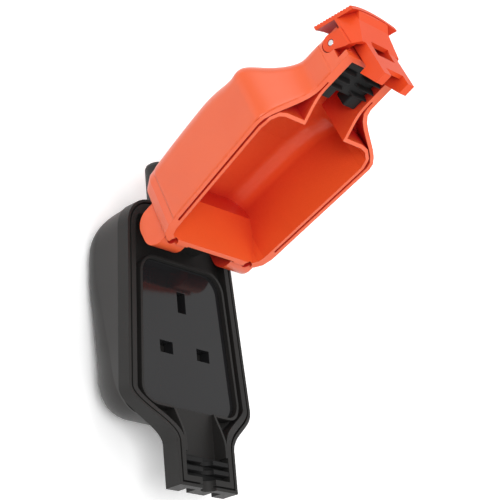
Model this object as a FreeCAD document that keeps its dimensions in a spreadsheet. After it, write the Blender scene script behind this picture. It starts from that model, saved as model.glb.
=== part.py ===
import FreeCAD, Part
import math
import os
import types

import Sketcher
from FreeCAD import Placement, Rotation, Vector

# In-line weatherproof socket for a three-pin plug, lying on its back with the cover open.
# X runs across, Y from the plug lead's neck to the hinge, Z out of the socket face.
# The origin is on the plane that the back rests on, under the middle of the two line slots.

SIZES = {
    "face_height": 30.0,
    "face_plate": 3.0,
    "slot_collar_depth": 2.2,
    "slot_collar_wall": 1.2,
    "slot_spacing": 22.2,
    "earth_offset": 22.2,
    "line_slot_width": 7.7,
    "line_slot_height": 5.5,
    "earth_slot_width": 5.0,
    "earth_slot_height": 9.6,
    "side_half_width": 35.0,
    "side_taper": 0.07,
    "neck_half_width": 17.0,
    "shoulder_start": 21.0,
    "waist_end": 44.0,
    "neck_end": 62.5,
    "base_end": 66.0,
    "base_end_radius": 14.0,
    "body_rim": 2.0,
    "neck_rim": 8.2,
    "parting_drop": 4.5,
    "neck_floor_drop": 0.5,
    "frame_wall": 1.3,
    "frame_groove": 0.8,
    "frame_groove_depth": 1.8,
    "mid_rim_inset": 4.6,
    "inner_wall": 1.2,
    "recess_inset": 8.4,
    "recess_front": 27.0,
    "recess_back": 39.0,
    "recess_corner": 8.0,
    "channel_half_width": 11.5,
    "channel_floor": 1.5,
    "moat_floor_drop": 2.5,
    "moat_end": 58.0,
    "face_ledge": 1.6,
    "fit_gap": 0.2,
    "moving_gap": 0.4,
    "seal_start": 47.5,
    "end_wall": 2.5,
    "base_end_wall": 4.6,
    "lead_radius": 4.0,
    "shell_wall": 2.4,
    "shell_front": 31.0,
    "shell_front_rise": 19.0,
    "shell_end_rise": 20.0,
    "shell_front_corner": 12.0,
    "shell_side_radius": 11.0,
    "shell_front_radius": 21.0,
    "hinge_y": 48.4,
    "hinge_rise": 13.9,
    "hinge_pin_radius": 1.5,
    "hinge_block_half": 13.9,
    "hinge_boss_radius": 4.2,
    "hinge_bore_depth": 8.0,
    "running_fit": 0.05,
    "ear_outer": 28.0,
    "ear_reach": 8.0,
    "ear_corner": 7.0,
    "lid_open_angle": 113.35,
    "lid_end": 47.5,
    "lid_end_radius": 8.0,
    "lid_dome": 38.7,
    "lid_neck_top": 28.9,
    "lid_draft": 1.6,
    "lid_radius": 10.0,
    "lid_neck_radius": 6.0,
    "lid_top_wall": 2.4,
    "lid_skirt": 1.6,
    "lid_rim_inset": 4.5,
    "lid_rim_wall": 1.6,
    "lid_groove_depth": 15.0,
    "lid_channel_half": 12.2,
    "lid_seal_ceiling": 18.5,
    "lid_end_slope_rise": 21.0,
    "lid_end_slope_run": 8.3,
    "latch_y": 57.8,
    "latch_rise": 21.7,
    "latch_pin_radius": 1.5,
    "latch_lug_radius": 4.1,
    "latch_lug_inner": 12.6,
    "latch_lug_outer": 15.4,
    "latch_hood_half": 14.5,
    "latch_hood_back": 3.2,
    "latch_hood_reach": 15.7,
    "latch_hood_rise": 13.4,
    "latch_hood_fall": 6.9,
    "latch_hood_wall": 2.0,
    "latch_hood_arch": 3.0,
    "latch_arm_half": 9.5,
    "latch_arm_width": 4.0,
    "latch_arm_depth": 5.4,
    "latch_arm_drop": 27.3,
    "latch_end_gap": 0.6,
    "latch_web_wall": 2.0,
    "latch_web_low": 6.9,
    "latch_bridge_top": 14.5,
    "latch_bridge_low": 22.4,
    "latch_claw_drop": 17.5,
    "latch_claw_bite": 3.1,
    "latch_claw_gap": 0.7,
    "latch_ribs": 13,
    "gland_radius": 6.0,
    "gland_bore": 3.6,
    "gland_drop": 8.0,
    "gland_flange": 7.6,
    "gland_end": 91.0,
    "gland_flange_width": 2.0,
    "carrier_half_width": 20.0,
    "carrier_front": 13.0,
    "carrier_back": 34.0,
    "carrier_floor": 10.0,
    "shutter_thickness": 1.6,
    "shutter_travel": 6.5,
    "spring_radius": 1.5,
    "spring_wire": 0.35,
    "spring_turns": 6,
    "contact_sheet": 0.8,
    "contact_width": 6.0,
    "terminal_block": 8.0,
    "terminal_bottom": 5.5,
    "screw_radius": 1.5,
    "screw_head_radius": 2.7,
    "screw_head_height": 1.8,
    "screw_slot": 0.8,
    "housing_screw_length": 14.5,
    "clamp_screw_length": 12.0,
    "terminal_screw_length": 5.5,
    "boss_radius": 3.6,
    "clamp_half_length": 12.0,
    "clamp_width": 7.0,
    "clamp_thickness": 3.0,
    "clamp_y": 53.0,
    "clamp_height": 14.0,
}

os.makedirs("parts", exist_ok=True)
doc = FreeCAD.newDocument("OutdoorSocket")
sheet = doc.addObject("Spreadsheet::Sheet", "Sizes")
for row, (name, value) in enumerate(SIZES.items(), start=1):
    sheet.set(f"A{row}", name)
    sheet.set(f"B{row}", str(value))
    sheet.setAlias(f"B{row}", name)
doc.recompute()
s = types.SimpleNamespace(**{name: float(sheet.get(name)) for name in SIZES})

# Levels above the rest plane that several pieces share.
FACE = s.face_height
PARTING = FACE - s.parting_drop
HINGE = Vector(0, s.hinge_y, FACE + s.hinge_rise)
LATCH = Vector(0, -s.latch_y, FACE + s.latch_rise)
GLAND_AXIS = FACE - s.gland_drop
FAR = 200.0

pieces = []


def feature(label, shape, placement=None):
    """Adds a computed solid to the document under its own label."""
    piece = doc.addObject("Part::Feature", label)
    piece.Label = label
    piece.Shape = shape
    if placement is not None:
        piece.Placement = placement
    pieces.append(piece)
    return piece


def one_solid(shape):
    """The biggest solid of a boolean's result, with its seams merged."""
    solids = sorted(shape.removeSplitter().Solids, key=lambda solid: solid.Volume)
    return solids[-1]


def box(low, high):
    """A box between two corners."""
    size = Vector(*high) - Vector(*low)
    return Part.makeBox(size.x, size.y, size.z, Vector(*low))


def mirrored(shape):
    """The shape's twin on the other side of the middle plane."""
    return shape.mirror(Vector(0, 0, 0), Vector(1, 0, 0))


def rod(radius, low_x, high_x, centre):
    """A round bar along X."""
    return Part.makeCylinder(radius, high_x - low_x, Vector(low_x, centre.y, centre.z), Vector(1, 0, 0))


def side_prism(points, low_x, high_x):
    """A side view given as (y, z) points, carried across from one X to another."""
    corners = [Vector(low_x, y, z) for y, z in points]
    face = Part.Face(Part.makePolygon(corners + corners[:1]))
    return face.extrude(Vector(high_x - low_x, 0, 0))


# Outline and levels

def blend(share):
    """Raised cosine from 0 to 1."""
    bounded = min(max(share, 0.0), 1.0)
    return 0.5 * (1.0 - math.cos(math.pi * bounded))


def waist(y):
    """0 along the body, 1 along the neck, smooth between them."""
    return blend((-y - s.shoulder_start) / (s.waist_end - s.shoulder_start))


def side_line(y):
    """Half-width of the body's tapering side, without the waist."""
    return s.side_half_width - s.side_taper * y


def half_width(y):
    """Half-width of the bottle-shaped outline."""
    return side_line(y) + (s.neck_half_width - side_line(y)) * waist(y)


def rim_level(y):
    """Height of the line where cover and base meet: it steps up along the waist."""
    return FACE + s.body_rim + (s.neck_rim - s.body_rim) * waist(y)


def frame_bottom(y):
    """Underside of the front frame, which also steps up along the waist."""
    return PARTING + (s.parting_drop - s.neck_floor_drop) * waist(y)


def lid_top(y):
    """Height of the closed cover's crown line."""
    fall = (s.lid_dome - s.lid_neck_top) * blend(-y / (s.waist_end - s.fit_gap))
    toward_hinge = max(y, 0.0) / s.lid_end
    return FACE + s.lid_dome - fall - s.body_rim * toward_hinge ** 2


def round_end(end, radius, inward):
    """Stations of a rounded end as (y, inset) pairs, from its tip to full width."""
    angles = [math.radians(degrees) for degrees in (0, 25, 55, 90)]
    return [
        (end + inward * radius * (1.0 - math.cos(angle)), radius * (1.0 - math.sin(angle)))
        for angle in angles
    ]


def arch_wire(y, half, open_z, closed_z, radius, draft):
    """A U across the object: flat at open_z, drafted sides, rounded corners at closed_z."""
    toward = math.copysign(1.0, closed_z - open_z)
    crown = half - draft
    flat = crown - radius
    spring = closed_z - toward * radius
    bulge = radius * (1.0 - math.sqrt(0.5))

    def at(x, z):
        return Vector(x, y, z)

    edges = [
        Part.LineSegment(at(-half, open_z), at(half, open_z)),
        Part.LineSegment(at(half, open_z), at(crown, spring)),
        Part.Arc(at(crown, spring), at(crown - bulge, closed_z - toward * bulge), at(flat, closed_z)),
        Part.LineSegment(at(flat, closed_z), at(-flat, closed_z)),
        Part.Arc(at(-flat, closed_z), at(bulge - crown, closed_z - toward * bulge), at(-crown, spring)),
        Part.LineSegment(at(-crown, spring), at(-half, open_z)),
    ]
    return Part.Wire([edge.toShape() for edge in edges])


def loft(wires, ruled=False):
    """A solid through the sections, smooth or with straight rulings."""
    solid = Part.makeLoft(wires, True, ruled)
    if solid.Volume < 0:
        solid.reverse()
    return solid


# Base housing

def smooth_edge(points):
    """A spline edge through points."""
    curve = Part.BSplineCurve()
    curve.interpolate(points)
    return curve.toShape()


def polyline(points):
    """Straight edges from point to point."""
    return [Part.makeLine(start, end) for start, end in zip(points, points[1:])]


def corner_arc(start, bend, end):
    """Quarter-round edge from start to end that bulges toward bend."""
    middle = (start + end) * 0.5
    return Part.Arc(start, middle + (bend - middle) * 0.414, end).toShape()


def both_sides(edges):
    """A face bounded by the right-hand edges and their mirror images."""
    right = Part.Wire(edges)
    wire = Part.Wire(Part.__sortEdges__(right.Edges + mirrored(right).Edges))
    return Part.Face(wire)


def waist_point(y, inset):
    """Point of the bottle outline's side at a station, moved inwards square to the outline."""
    slope = (half_width(y + 0.05) - half_width(y - 0.05)) / 0.1
    length = math.hypot(1.0, slope)
    return Vector(half_width(y) - inset / length, y + inset * slope / length, 0)


def waist_stretch(y):
    """How much wider than its thickness a wall is across the object, on the waist's slant."""
    slope = (half_width(y + 0.05) - half_width(y - 0.05)) / 0.1
    return math.hypot(1.0, slope)


def waist_stations(count):
    """Stations from the shoulder to the end of the waist."""
    run = s.waist_end - s.shoulder_start
    return [-s.shoulder_start - run * step / count for step in range(count + 1)]


def frame_prism(inset, low, high):
    """The base outline, moved inwards all round, standing between two levels."""
    end = s.base_end - inset
    radius = s.base_end_radius - inset
    neck = s.neck_half_width - inset
    tip = -s.neck_end + inset
    corner = Vector(side_line(end) - inset, end, 0)
    start = Vector(corner.x - radius, end, 0)
    side = Vector(side_line(end - radius) - inset, end - radius, 0)
    waist_curve = [waist_point(y, inset) for y in waist_stations(12)]
    edges = polyline([Vector(0, end, 0), start])
    edges.append(corner_arc(start, corner, side))
    edges += polyline([side, waist_curve[0]])
    edges.append(smooth_edge(waist_curve))
    edges += polyline([waist_curve[-1], Vector(neck, tip, 0), Vector(0, tip, 0)])
    return standing(both_sides(edges), low, high)


def standing(face, low, high):
    """A face in the XY plane as a prism between two levels."""
    return face.translated(Vector(0, 0, low)).extrude(Vector(0, 0, high - low))


def level_edges(level):
    """A height function of Y as edges in the middle plane, from hinge end to neck end."""
    waist_line = [Vector(0, y, level(y)) for y in waist_stations(12)]
    back = Vector(0, FAR, level(FAR))
    front = Vector(0, -FAR, level(-FAR))
    return polyline([back, waist_line[0]]) + [smooth_edge(waist_line)] + polyline([waist_line[-1], front])


def between_levels(low, high):
    """All the room between two height functions of Y."""
    ends = [
        Part.makeLine(Vector(0, y, low(y)), Vector(0, y, high(y)))
        for y in (-FAR, FAR)
    ]
    wire = Part.Wire(Part.__sortEdges__(level_edges(low) + level_edges(high) + ends))
    return Part.Face(wire).translated(Vector(-FAR, 0, 0)).extrude(Vector(2.0 * FAR, 0, 0))


def sky(y):
    """A level above everything."""
    return FAR


def recess_prism(grow, low, high):
    """The face recess between two levels: rounded corners, and the channel down the neck."""
    front = -s.recess_front - grow
    back = s.recess_back + grow
    corner = s.recess_corner + grow
    inset = s.recess_inset - grow
    half = s.channel_half_width + grow
    tip = -s.seal_start - grow
    back_bend = Vector(side_line(back) - inset, back, 0)
    back_start = Vector(back_bend.x - corner, back, 0)
    back_end = Vector(side_line(back - corner) - inset, back - corner, 0)
    front_bend = Vector(side_line(front) - inset, front, 0)
    front_start = Vector(side_line(front + corner) - inset, front + corner, 0)
    front_end = Vector(front_bend.x - corner, front, 0)
    edges = polyline([Vector(0, back, 0), back_start])
    edges.append(corner_arc(back_start, back_bend, back_end))
    edges += polyline([back_end, front_start])
    edges.append(corner_arc(front_start, front_bend, front_end))
    edges += polyline([front_end, Vector(half, front, 0), Vector(half, tip, 0), Vector(0, tip, 0)])
    return standing(both_sides(edges), low, high)


def above(level):
    """All the room above a level."""
    return box((-FAR, -FAR, level), (FAR, FAR, level + FAR))


def front_frame():
    """Front half of the base: rims, neck tray, face ledge and hinge block, moulded in one."""
    body = frame_prism(0.0, 0.0, FAR).common(between_levels(frame_bottom, rim_level))
    low = FACE - s.moat_floor_drop - 1.0
    inner = s.frame_wall + s.frame_groove
    groove = frame_prism(s.frame_wall, low, FAR).cut(frame_prism(inner, low - 1.0, FAR + 1.0))
    groove = groove.common(between_levels(lambda y: rim_level(y) - s.frame_groove_depth, sky))
    moat = frame_prism(s.mid_rim_inset, 0.0, FAR).common(box((-FAR, -FAR, 0.0), (FAR, s.moat_end, FAR)))
    moat = moat.cut(recess_prism(s.inner_wall, -1.0, FAR + 1.0)).common(between_levels(moat_floor, sky))
    front = -s.recess_front
    face_room = recess_prism(0.0, FACE - s.face_plate, FAR).common(box((-FAR, front, 0.0), (FAR, FAR, FAR)))
    neck_room = recess_prism(0.0, FACE + s.channel_floor, FAR)
    opening = recess_prism(-s.face_ledge, 0.0, FAR).common(box((-FAR, front + s.face_ledge, 0.0), (FAR, FAR, FACE)))
    body = body.cut([groove, moat, face_room, neck_room, opening])
    bosses = [hinge_block()]
    for x, y in housing_screw_places():
        bosses.append(Part.makeCylinder(s.boss_radius, s.parting_drop, Vector(x, y, PARTING - s.parting_drop)))
    drop = PARTING - clamp_top() - s.fit_gap
    for x in (-clamp_screw_x(), clamp_screw_x()):
        bosses.append(Part.makeCylinder(s.boss_radius, drop, Vector(x, s.clamp_y, PARTING - drop)))
    body = body.fuse(bosses)
    cuts = gland_seat() + claw_pockets() + [seal_pocket(s.channel_half_width + s.inner_wall), lead_hole()]
    for x, y in housing_screw_places() + [(clamp_screw_x(), s.clamp_y), (-clamp_screw_x(), s.clamp_y)]:
        depth = PARTING + 0.6 * s.moat_floor_drop
        cuts.append(Part.makeCylinder(s.screw_radius + s.running_fit, depth, Vector(x, y, 0.0)))
    cuts.append(rod(s.hinge_pin_radius + s.running_fit, -FAR, FAR, HINGE))
    feature("front_frame", one_solid(body.cut(cuts)))


def moat_floor(y):
    """Floor of the groove between the middle and inner rims."""
    return FACE - s.moat_floor_drop + (s.channel_floor + s.moat_floor_drop) * waist(y)


def seal_pocket(half):
    """Room for the base's lead seal in the neck."""
    low = FACE + s.channel_floor
    end = -s.neck_end + s.base_end_wall
    return box((-half, end, low), (half, -s.seal_start, 2.0 * FACE))


def claw_pockets():
    """Two pockets in the neck's end that the latch's claws hook into, under a ledge."""
    outer = s.latch_arm_half + s.moving_gap
    inner = s.latch_arm_half - s.latch_arm_width - s.moving_gap
    depth = -s.neck_end + s.latch_claw_bite + s.moving_gap
    ledge = LATCH.z - s.latch_claw_drop + s.latch_claw_gap
    pocket_room = box((inner, -FAR, 0.0), (outer, depth, ledge))
    return [pocket_room, mirrored(pocket_room)]


def rod_along_y(radius, start, end, level):
    """A round bar along Y."""
    return Part.makeCylinder(radius, end - start, Vector(0, start, level), Vector(0, 1, 0))


def lead_hole():
    """Where the plug's lead leaves the closed neck: a round hole on the line of the rims."""
    return rod_along_y(s.lead_radius, -FAR, -s.seal_start, FACE + s.neck_rim)


def gland_seat():
    """Bore for the gland through the end wall, and the groove that holds its flange."""
    start = flange_back() - s.gland_flange_width - s.fit_gap
    return [
        rod_along_y(s.gland_radius + s.running_fit, start, FAR, GLAND_AXIS),
        rod_along_y(s.gland_flange + s.fit_gap, start, flange_back() + s.fit_gap, GLAND_AXIS),
        rod_along_y(s.gland_bore + 0.6, s.clamp_y - s.clamp_width, start + 1.0, GLAND_AXIS),
    ]


def flange_back():
    """Outer face of the gland's flange, inside the end wall."""
    return s.base_end - s.shell_wall - s.gland_flange_width


def hinge_block():
    """Block between the cover's ears that carries the hinge pin."""
    front = s.hinge_y - s.fit_gap
    back = s.hinge_y + 2.3 * s.hinge_boss_radius
    tip = s.hinge_y + s.hinge_boss_radius
    points = [
        (front, PARTING), (front, HINGE.z - s.hinge_boss_radius), (s.hinge_y, HINGE.z),
        (tip, HINGE.z), (back - 1.0, HINGE.z - 2.0 * s.hinge_boss_radius), (back, PARTING),
    ]
    block = side_prism(points, -s.hinge_block_half, s.hinge_block_half)
    return block.fuse(rod(s.hinge_boss_radius, -s.hinge_block_half, s.hinge_block_half, HINGE))


def shell_solid(inset):
    """The back's hull, moved inwards by a wall: deep and boxy at the hinge, boat-shaped at the neck."""
    end = s.base_end - inset
    front = -s.shell_front + inset
    depth_low = -0.6 if inset == 0.0 else inset

    def bottom(y):
        toward_end = max(0.0, (y - (end - s.shell_end_rise)) / s.shell_end_rise)
        toward_front = max(0.0, ((front + s.shell_front_rise) - y) / s.shell_front_rise)
        reach = min(1.0, max(toward_end, toward_front))
        return depth_low + (PARTING - depth_low) * 0.86 * (1.0 - math.sqrt(1.0 - reach ** 2))

    def radius(y):
        share = min(1.0, max(0.0, (34.0 - y) / 46.0))
        depth = PARTING - bottom(y)
        wanted = s.shell_side_radius + (s.shell_front_radius - s.shell_side_radius) * share - inset
        return min(wanted, 0.92 * depth)

    stations = round_end(end, s.base_end_radius - inset, -1.0)
    stations += [(y, 0.0) for y in (44.0, 34.0, 20.0, 6.0, -6.0)]
    stations += list(reversed(round_end(front, s.shell_front_corner - inset, 1.0)))
    wires = []
    for y, end_inset in stations:
        half = side_line(y) - inset - end_inset
        over = PARTING + 2.0 + inset
        wires.append(arch_wire(y, half, over, bottom(y), min(radius(y), half - 4.0), 1.5))
    return loft(wires)


def housing_screw_places():
    """Where the four screws join the back to the front frame."""
    return [(-17.0, 42.5), (17.0, 42.5), (-22.0, -18.0), (22.0, -18.0)]


def screw_seat():
    """Height of the housing screws' heads in their columns."""
    return s.carrier_floor + s.screw_head_height


def back_shell():
    """Domed back: a thin wall with screw columns inside and a flat that the object rests on."""
    hull = shell_solid(0.0).common(box((-FAR, -FAR, 0.0), (FAR, FAR, PARTING)))
    body = hull.cut(shell_solid(s.shell_wall))
    column_top = PARTING - s.parting_drop - s.fit_gap
    columns = [
        Part.makeCylinder(s.boss_radius + 0.8, column_top, Vector(x, y, 0)).common(hull)
        for x, y in housing_screw_places()
    ]
    body = body.fuse(columns)
    cuts = gland_seat()
    for x, y in housing_screw_places():
        cuts.append(Part.makeCylinder(s.screw_radius + s.fit_gap, FACE, Vector(x, y, -5.0)))
        cuts.append(Part.makeCylinder(s.screw_head_radius + s.fit_gap, screw_seat() + 5.0, Vector(x, y, -5.0)))
    feature("back_shell", one_solid(body.cut(cuts)))


# Socket face

def slot(x, y, width, height, grow, low, high):
    """One slot's prism, or its collar when grown."""
    half_x = 0.5 * width + grow
    half_y = 0.5 * height + grow
    return box((x - half_x, y - half_y, low), (x + half_x, y + half_y, high))


def all_slots(grow, low, high):
    """The earth slot and the two line slots."""
    half_pitch = 0.5 * s.slot_spacing
    slots = slot(0.0, s.earth_offset, s.earth_slot_width, s.earth_slot_height, grow, low, high)
    for x in (-half_pitch, half_pitch):
        slots = slots.fuse(slot(x, 0.0, s.line_slot_width, s.line_slot_height, grow, low, high))
    return slots


def face_screw_x():
    """Offset of the two screws that hold the contact carrier to the face."""
    return s.carrier_half_width + 1.6


def socket_face():
    """Glossy face plate with collars round its three slots and two screw posts behind it."""
    low = FACE - s.face_plate
    plate = recess_prism(-s.fit_gap, low, FACE)
    plate = plate.common(box((-FAR, -s.recess_front + s.fit_gap, 0.0), (FAR, FAR, FAR)))
    collar_low = low - s.slot_collar_depth
    plate = plate.fuse(all_slots(s.slot_collar_wall, collar_low, FACE - s.fit_gap))
    for x in (-face_screw_x(), face_screw_x()):
        plate = plate.fuse(Part.makeCylinder(2.6, s.face_plate, Vector(x, 10.0, low - s.face_plate)))
        plate = plate.cut(Part.makeCylinder(1.25, 2.0 * s.face_plate, Vector(x, 10.0, low - 2.0 * s.face_plate + 1.5)))
    plate = plate.cut(all_slots(0.0, collar_low - 1.0, FACE + 1.0))
    feature("socket_face", one_solid(plate))


def shutter_level():
    """Underside of the shutter."""
    return FACE - s.face_plate - s.slot_collar_depth - s.moving_gap - s.shutter_thickness


def contact_pocket(x, y, width, height):
    """Pocket in the carrier round one contact."""
    low = s.carrier_floor - 1.0
    return box((x - 0.5 * width, y - 0.5 * height, low), (x + 0.5 * width, y + 0.5 * height, FACE))


def contact_carrier():
    """Moulding behind the face: pockets for the contacts and a tray for the shutter."""
    top = FACE - s.face_plate
    half = s.carrier_half_width
    body = box((-half, -s.carrier_front, s.carrier_floor), (half, s.carrier_back, top))
    tray_low = shutter_level() - s.moving_gap
    body = body.cut(box((-half + 2.0, -s.carrier_front + 2.0, tray_low), (half - 2.0, s.carrier_back - 2.0, FAR)))
    for x in (-0.5 * s.slot_spacing, 0.5 * s.slot_spacing):
        body = body.cut(contact_pocket(x, 0.0, 8.6, 8.6))
    body = body.cut(contact_pocket(0.0, s.earth_offset, 8.6, 12.6))
    groove_half = s.spring_radius + s.spring_wire + s.moving_gap
    groove_low = shutter_level() + 0.5 * s.shutter_thickness - groove_half
    body = body.cut(box((-groove_half, -s.carrier_front + 2.0, groove_low), (groove_half, spring_seat(), FAR)))
    tab_low = top - s.face_plate - 2.2
    for x in (-face_screw_x(), face_screw_x()):
        tab = Part.makeCylinder(3.0, 2.0, Vector(x, 10.0, tab_low))
        body = body.fuse(tab)
    for x in (-face_screw_x(), face_screw_x()):
        body = body.cut(Part.makeCylinder(2.8, FAR, Vector(x, 10.0, tab_low + 2.0)))
        body = body.cut(Part.makeCylinder(1.4, FAR, Vector(x, 10.0, 0.0)))
        body = body.cut(Part.makeCylinder(2.4, tab_low - 0.1, Vector(x, 10.0, 0.0)))
    feature("contact_carrier", one_solid(body))


def lid_hull(inset, top_inset, low):
    """The closed cover's outer form, moved inwards by a wall, from a height function up."""
    stations = round_end(s.lid_end - inset, s.lid_end_radius - 0.5 * inset, -1.0)
    stations += [(y, 0.0) for y in (28.0, 14.0, 0.0, -11.0)]
    stations += [(y, 0.0) for y in waist_stations(8)] + [(-s.neck_end + inset, 0.0)]
    wires = []
    for y, end_inset in stations:
        half = half_width(y) - inset * waist_stretch(y) - end_inset
        radius = s.lid_radius + (s.lid_neck_radius - s.lid_radius) * waist(y) - 0.5 * inset
        top = lid_top(y) - top_inset - end_inset
        wires.append(arch_wire(y, half, low(y), top, radius, s.lid_draft))
    return loft(wires, True)


def lid_rim(y):
    """Lower edge of the closed cover."""
    return rim_level(y) + s.moving_gap


def lid_cavity(grow):
    """Room for the plug inside the closed cover, with the channel in the neck."""
    inset = s.lid_rim_inset - grow
    corner = s.recess_corner + grow
    back = s.lid_end - 2.4 + grow
    front = -s.recess_front - 1.0 - grow
    stations = [(y, e) for y, e in round_end(back, 5.0, -1.0)]
    stations += [(y, 0.0) for y in (28.0, 14.0, 0.0, -11.0)]
    stations += list(reversed(round_end(front, corner, 1.0)))
    wires = []
    for y, end_inset in stations:
        top = lid_top(y) - s.lid_top_wall + grow
        half = side_line(y) - inset - end_inset
        wires.append(arch_wire(y, half, FACE - 2.0, top, s.lid_radius - 2.0, s.lid_draft))
    body = loft(wires, True)
    slope_y = s.lid_end - 2.4 + grow
    low = FACE + s.body_rim
    points = [
        (slope_y, low - 10.0), (slope_y, low), (slope_y - s.lid_end_slope_run, low + s.lid_end_slope_rise),
        (slope_y - s.lid_end_slope_run + 2.5, low + 2.0 * s.lid_end_slope_rise), (FAR, FAR), (FAR, low - 10.0),
    ]
    body = body.cut(side_prism(points, -FAR, FAR))
    half = s.lid_channel_half + grow
    ceiling = FACE + s.lid_neck_top - s.lid_top_wall + grow
    channel = box((-half, -s.seal_start - grow, FACE - 2.0), (half, -s.recess_front + 3.0, ceiling))
    return body.fuse(channel)


def hinge_notch():
    """Room between the cover's ears for the hinge block."""
    half = s.hinge_block_half + 0.3
    low = FACE + s.body_rim
    wall_y = s.lid_end - 0.4
    points = [
        (wall_y, FACE - 5.0), (wall_y, low), (wall_y - s.lid_end_slope_run, low + s.lid_end_slope_rise),
        (FAR, low + s.lid_end_slope_rise), (FAR, FACE - 5.0),
    ]
    return side_prism(points, -half, half)


def lid_ear():
    """One of the cover's two hinge ears: a rounded block round the pin."""
    low_x = s.hinge_block_half + 0.3
    back = s.hinge_y + s.ear_reach
    low = FACE + s.body_rim + s.lid_rim_wall
    ear = box((low_x, s.lid_end - 12.0, low), (s.ear_outer, back, HINGE.z + s.ear_reach))
    outer = [
        edge for edge in ear.Edges
        if abs(edge.CenterOfMass.y - back) < 0.01 and edge.BoundBox.XLength > 1.0
    ]
    ear = ear.makeFillet(s.ear_corner, outer)
    bore = rod(s.hinge_pin_radius + s.running_fit, 0.0, low_x + s.hinge_bore_depth, HINGE)
    return ear, bore


def latch_notch():
    """Room in the neck's end for one lug of the latch."""
    inner = s.latch_lug_inner - 0.3
    notch = rod(s.latch_lug_radius + s.moving_gap, inner, FAR, LATCH)
    low = LATCH.z - 2.4 * s.latch_lug_radius
    return notch.fuse(box((inner, -FAR, low), (FAR, LATCH.y, FAR)))


def lid_seal_pocket():
    """Pocket in the cover's neck for its lead seal."""
    half = s.lid_channel_half
    end = -s.neck_end + s.end_wall
    return box((-half, end, FACE), (half, -s.seal_start, FACE + s.lid_seal_ceiling))


def lid_placement():
    """Turns a piece from the closed cover to the open one."""
    return Placement(Vector(0, 0, 0), Rotation(Vector(1, 0, 0), -s.lid_open_angle), HINGE)


def lid_shell():
    """Deep cover with a double rim: outer skirt, inner wall, hinge ears and latch seats."""
    body = lid_hull(0.0, 0.0, lid_rim)
    ear, bore = lid_ear()
    body = body.fuse([ear, mirrored(ear)])
    body = body.cut(lid_cavity(0.0))
    body = body.cut(hinge_notch())
    groove = lid_hull(s.lid_skirt, s.lid_top_wall, lambda y: FACE - 3.0)
    groove = groove.common(box((-FAR, -FAR, 0.0), (FAR, FAR, FACE + s.lid_groove_depth)))
    keep = lid_cavity(s.lid_rim_wall).fuse(box((-s.neck_half_width, -FAR, 0.0), (s.neck_half_width, -s.seal_start, FAR)))
    keep = keep.fuse(box((-FAR, s.lid_end - 12.0, 0.0), (FAR, FAR, FAR)))
    body = body.cut(groove.cut(keep))
    body = body.cut(lid_seal_pocket())
    body = body.cut(lead_hole())
    for notch in (latch_notch(), mirrored(latch_notch())):
        body = body.cut(notch)
    body = body.cut(rod(s.latch_pin_radius + s.running_fit, -FAR, FAR, LATCH))
    body = body.cut([bore, mirrored(bore)])
    pocket_x = s.ear_outer - 5.0
    for x in (pocket_x, -pocket_x):
        pocket = Part.makeCylinder(2.2, 6.0, Vector(x, s.hinge_y - 1.5, FACE))
        body = body.cut(pocket)
    feature("lid_shell", one_solid(body), lid_placement())


def lip_seal(half, low, high, lip, start, end, feet):
    """Rubber half-seal: a block with two lips across it, slit for the plug's lead."""
    toward = math.copysign(1.0, lip - high)
    base, top = sorted((low, high))
    body = box((-half, end, base), (half, start, top))
    length = start - end
    for share in (0.3, 0.68):
        y = start - share * length
        lip_low, lip_high = sorted((high, lip))
        body = body.fuse(box((-half, y - 0.9, lip_low), (half, y + 0.9, lip_high)))
    for x in (-half + 0.5, half - 5.5) if feet > 0 else ():
        foot_low, foot_high = sorted((high - 2.0 * toward, high + 1.2 * toward))
        body = body.fuse(box((x, start, foot_low), (x + 5.0, start + feet, foot_high)))
    return body.cut(rod_along_y(3.2, -FAR, FAR, lip))


def seals():
    """The two black rubber seals in the neck."""
    start = -s.seal_start - s.fit_gap
    end = -s.neck_end + s.end_wall + s.fit_gap
    base_end = -s.neck_end + s.base_end_wall + s.fit_gap
    rim = FACE + s.neck_rim
    half = s.channel_half_width + s.inner_wall - s.fit_gap
    lower = lip_seal(half, FACE + s.channel_floor, rim - 4.0, rim - 0.1, start, base_end, 0.0)
    feature("base_cable_seal", one_solid(lower))
    half = s.lid_channel_half - s.fit_gap
    upper = lip_seal(half, FACE + s.lid_seal_ceiling, rim + 4.5, rim + s.moving_gap, start, end, 4.0)
    feature("lid_cable_seal", one_solid(upper), lid_placement())


# Latch

def latch_point(reach, rise):
    """A (y, z) place given by its distance out from the latch pin and above it."""
    return (LATCH.y - reach, LATCH.z + rise)


def latch_profile(points, low_x, high_x):
    """A prism across the latch from (reach, rise) points."""
    return side_prism([latch_point(*point) for point in points], low_x, high_x)


def hood_arch(station, lift, wall):
    """Cross-section of the hood: an arch at a reach from the pin, so thick, its ends at a rise."""
    y, z = latch_point(station, lift)
    half = s.latch_hood_half
    points = [Vector(-half, y, z), Vector(0, y, z + s.latch_hood_arch), Vector(half, y, z)]
    under = [point - Vector(0, 0, wall) for point in points]
    edges = [
        Part.Arc(*points), Part.LineSegment(points[2], under[2]),
        Part.Arc(under[2], under[1], under[0]), Part.LineSegment(under[0], points[0]),
    ]
    return Part.Wire([edge.toShape() for edge in edges])


def hood_room(drop, wall):
    """The arch carried from the hood's rear edge to its front, some way below its top."""
    rear = hood_arch(-s.latch_hood_back, s.latch_hood_rise - drop, wall)
    front = hood_arch(s.latch_hood_reach, s.latch_hood_rise - s.latch_hood_fall - drop, wall)
    return loft([rear, front], True)


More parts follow.
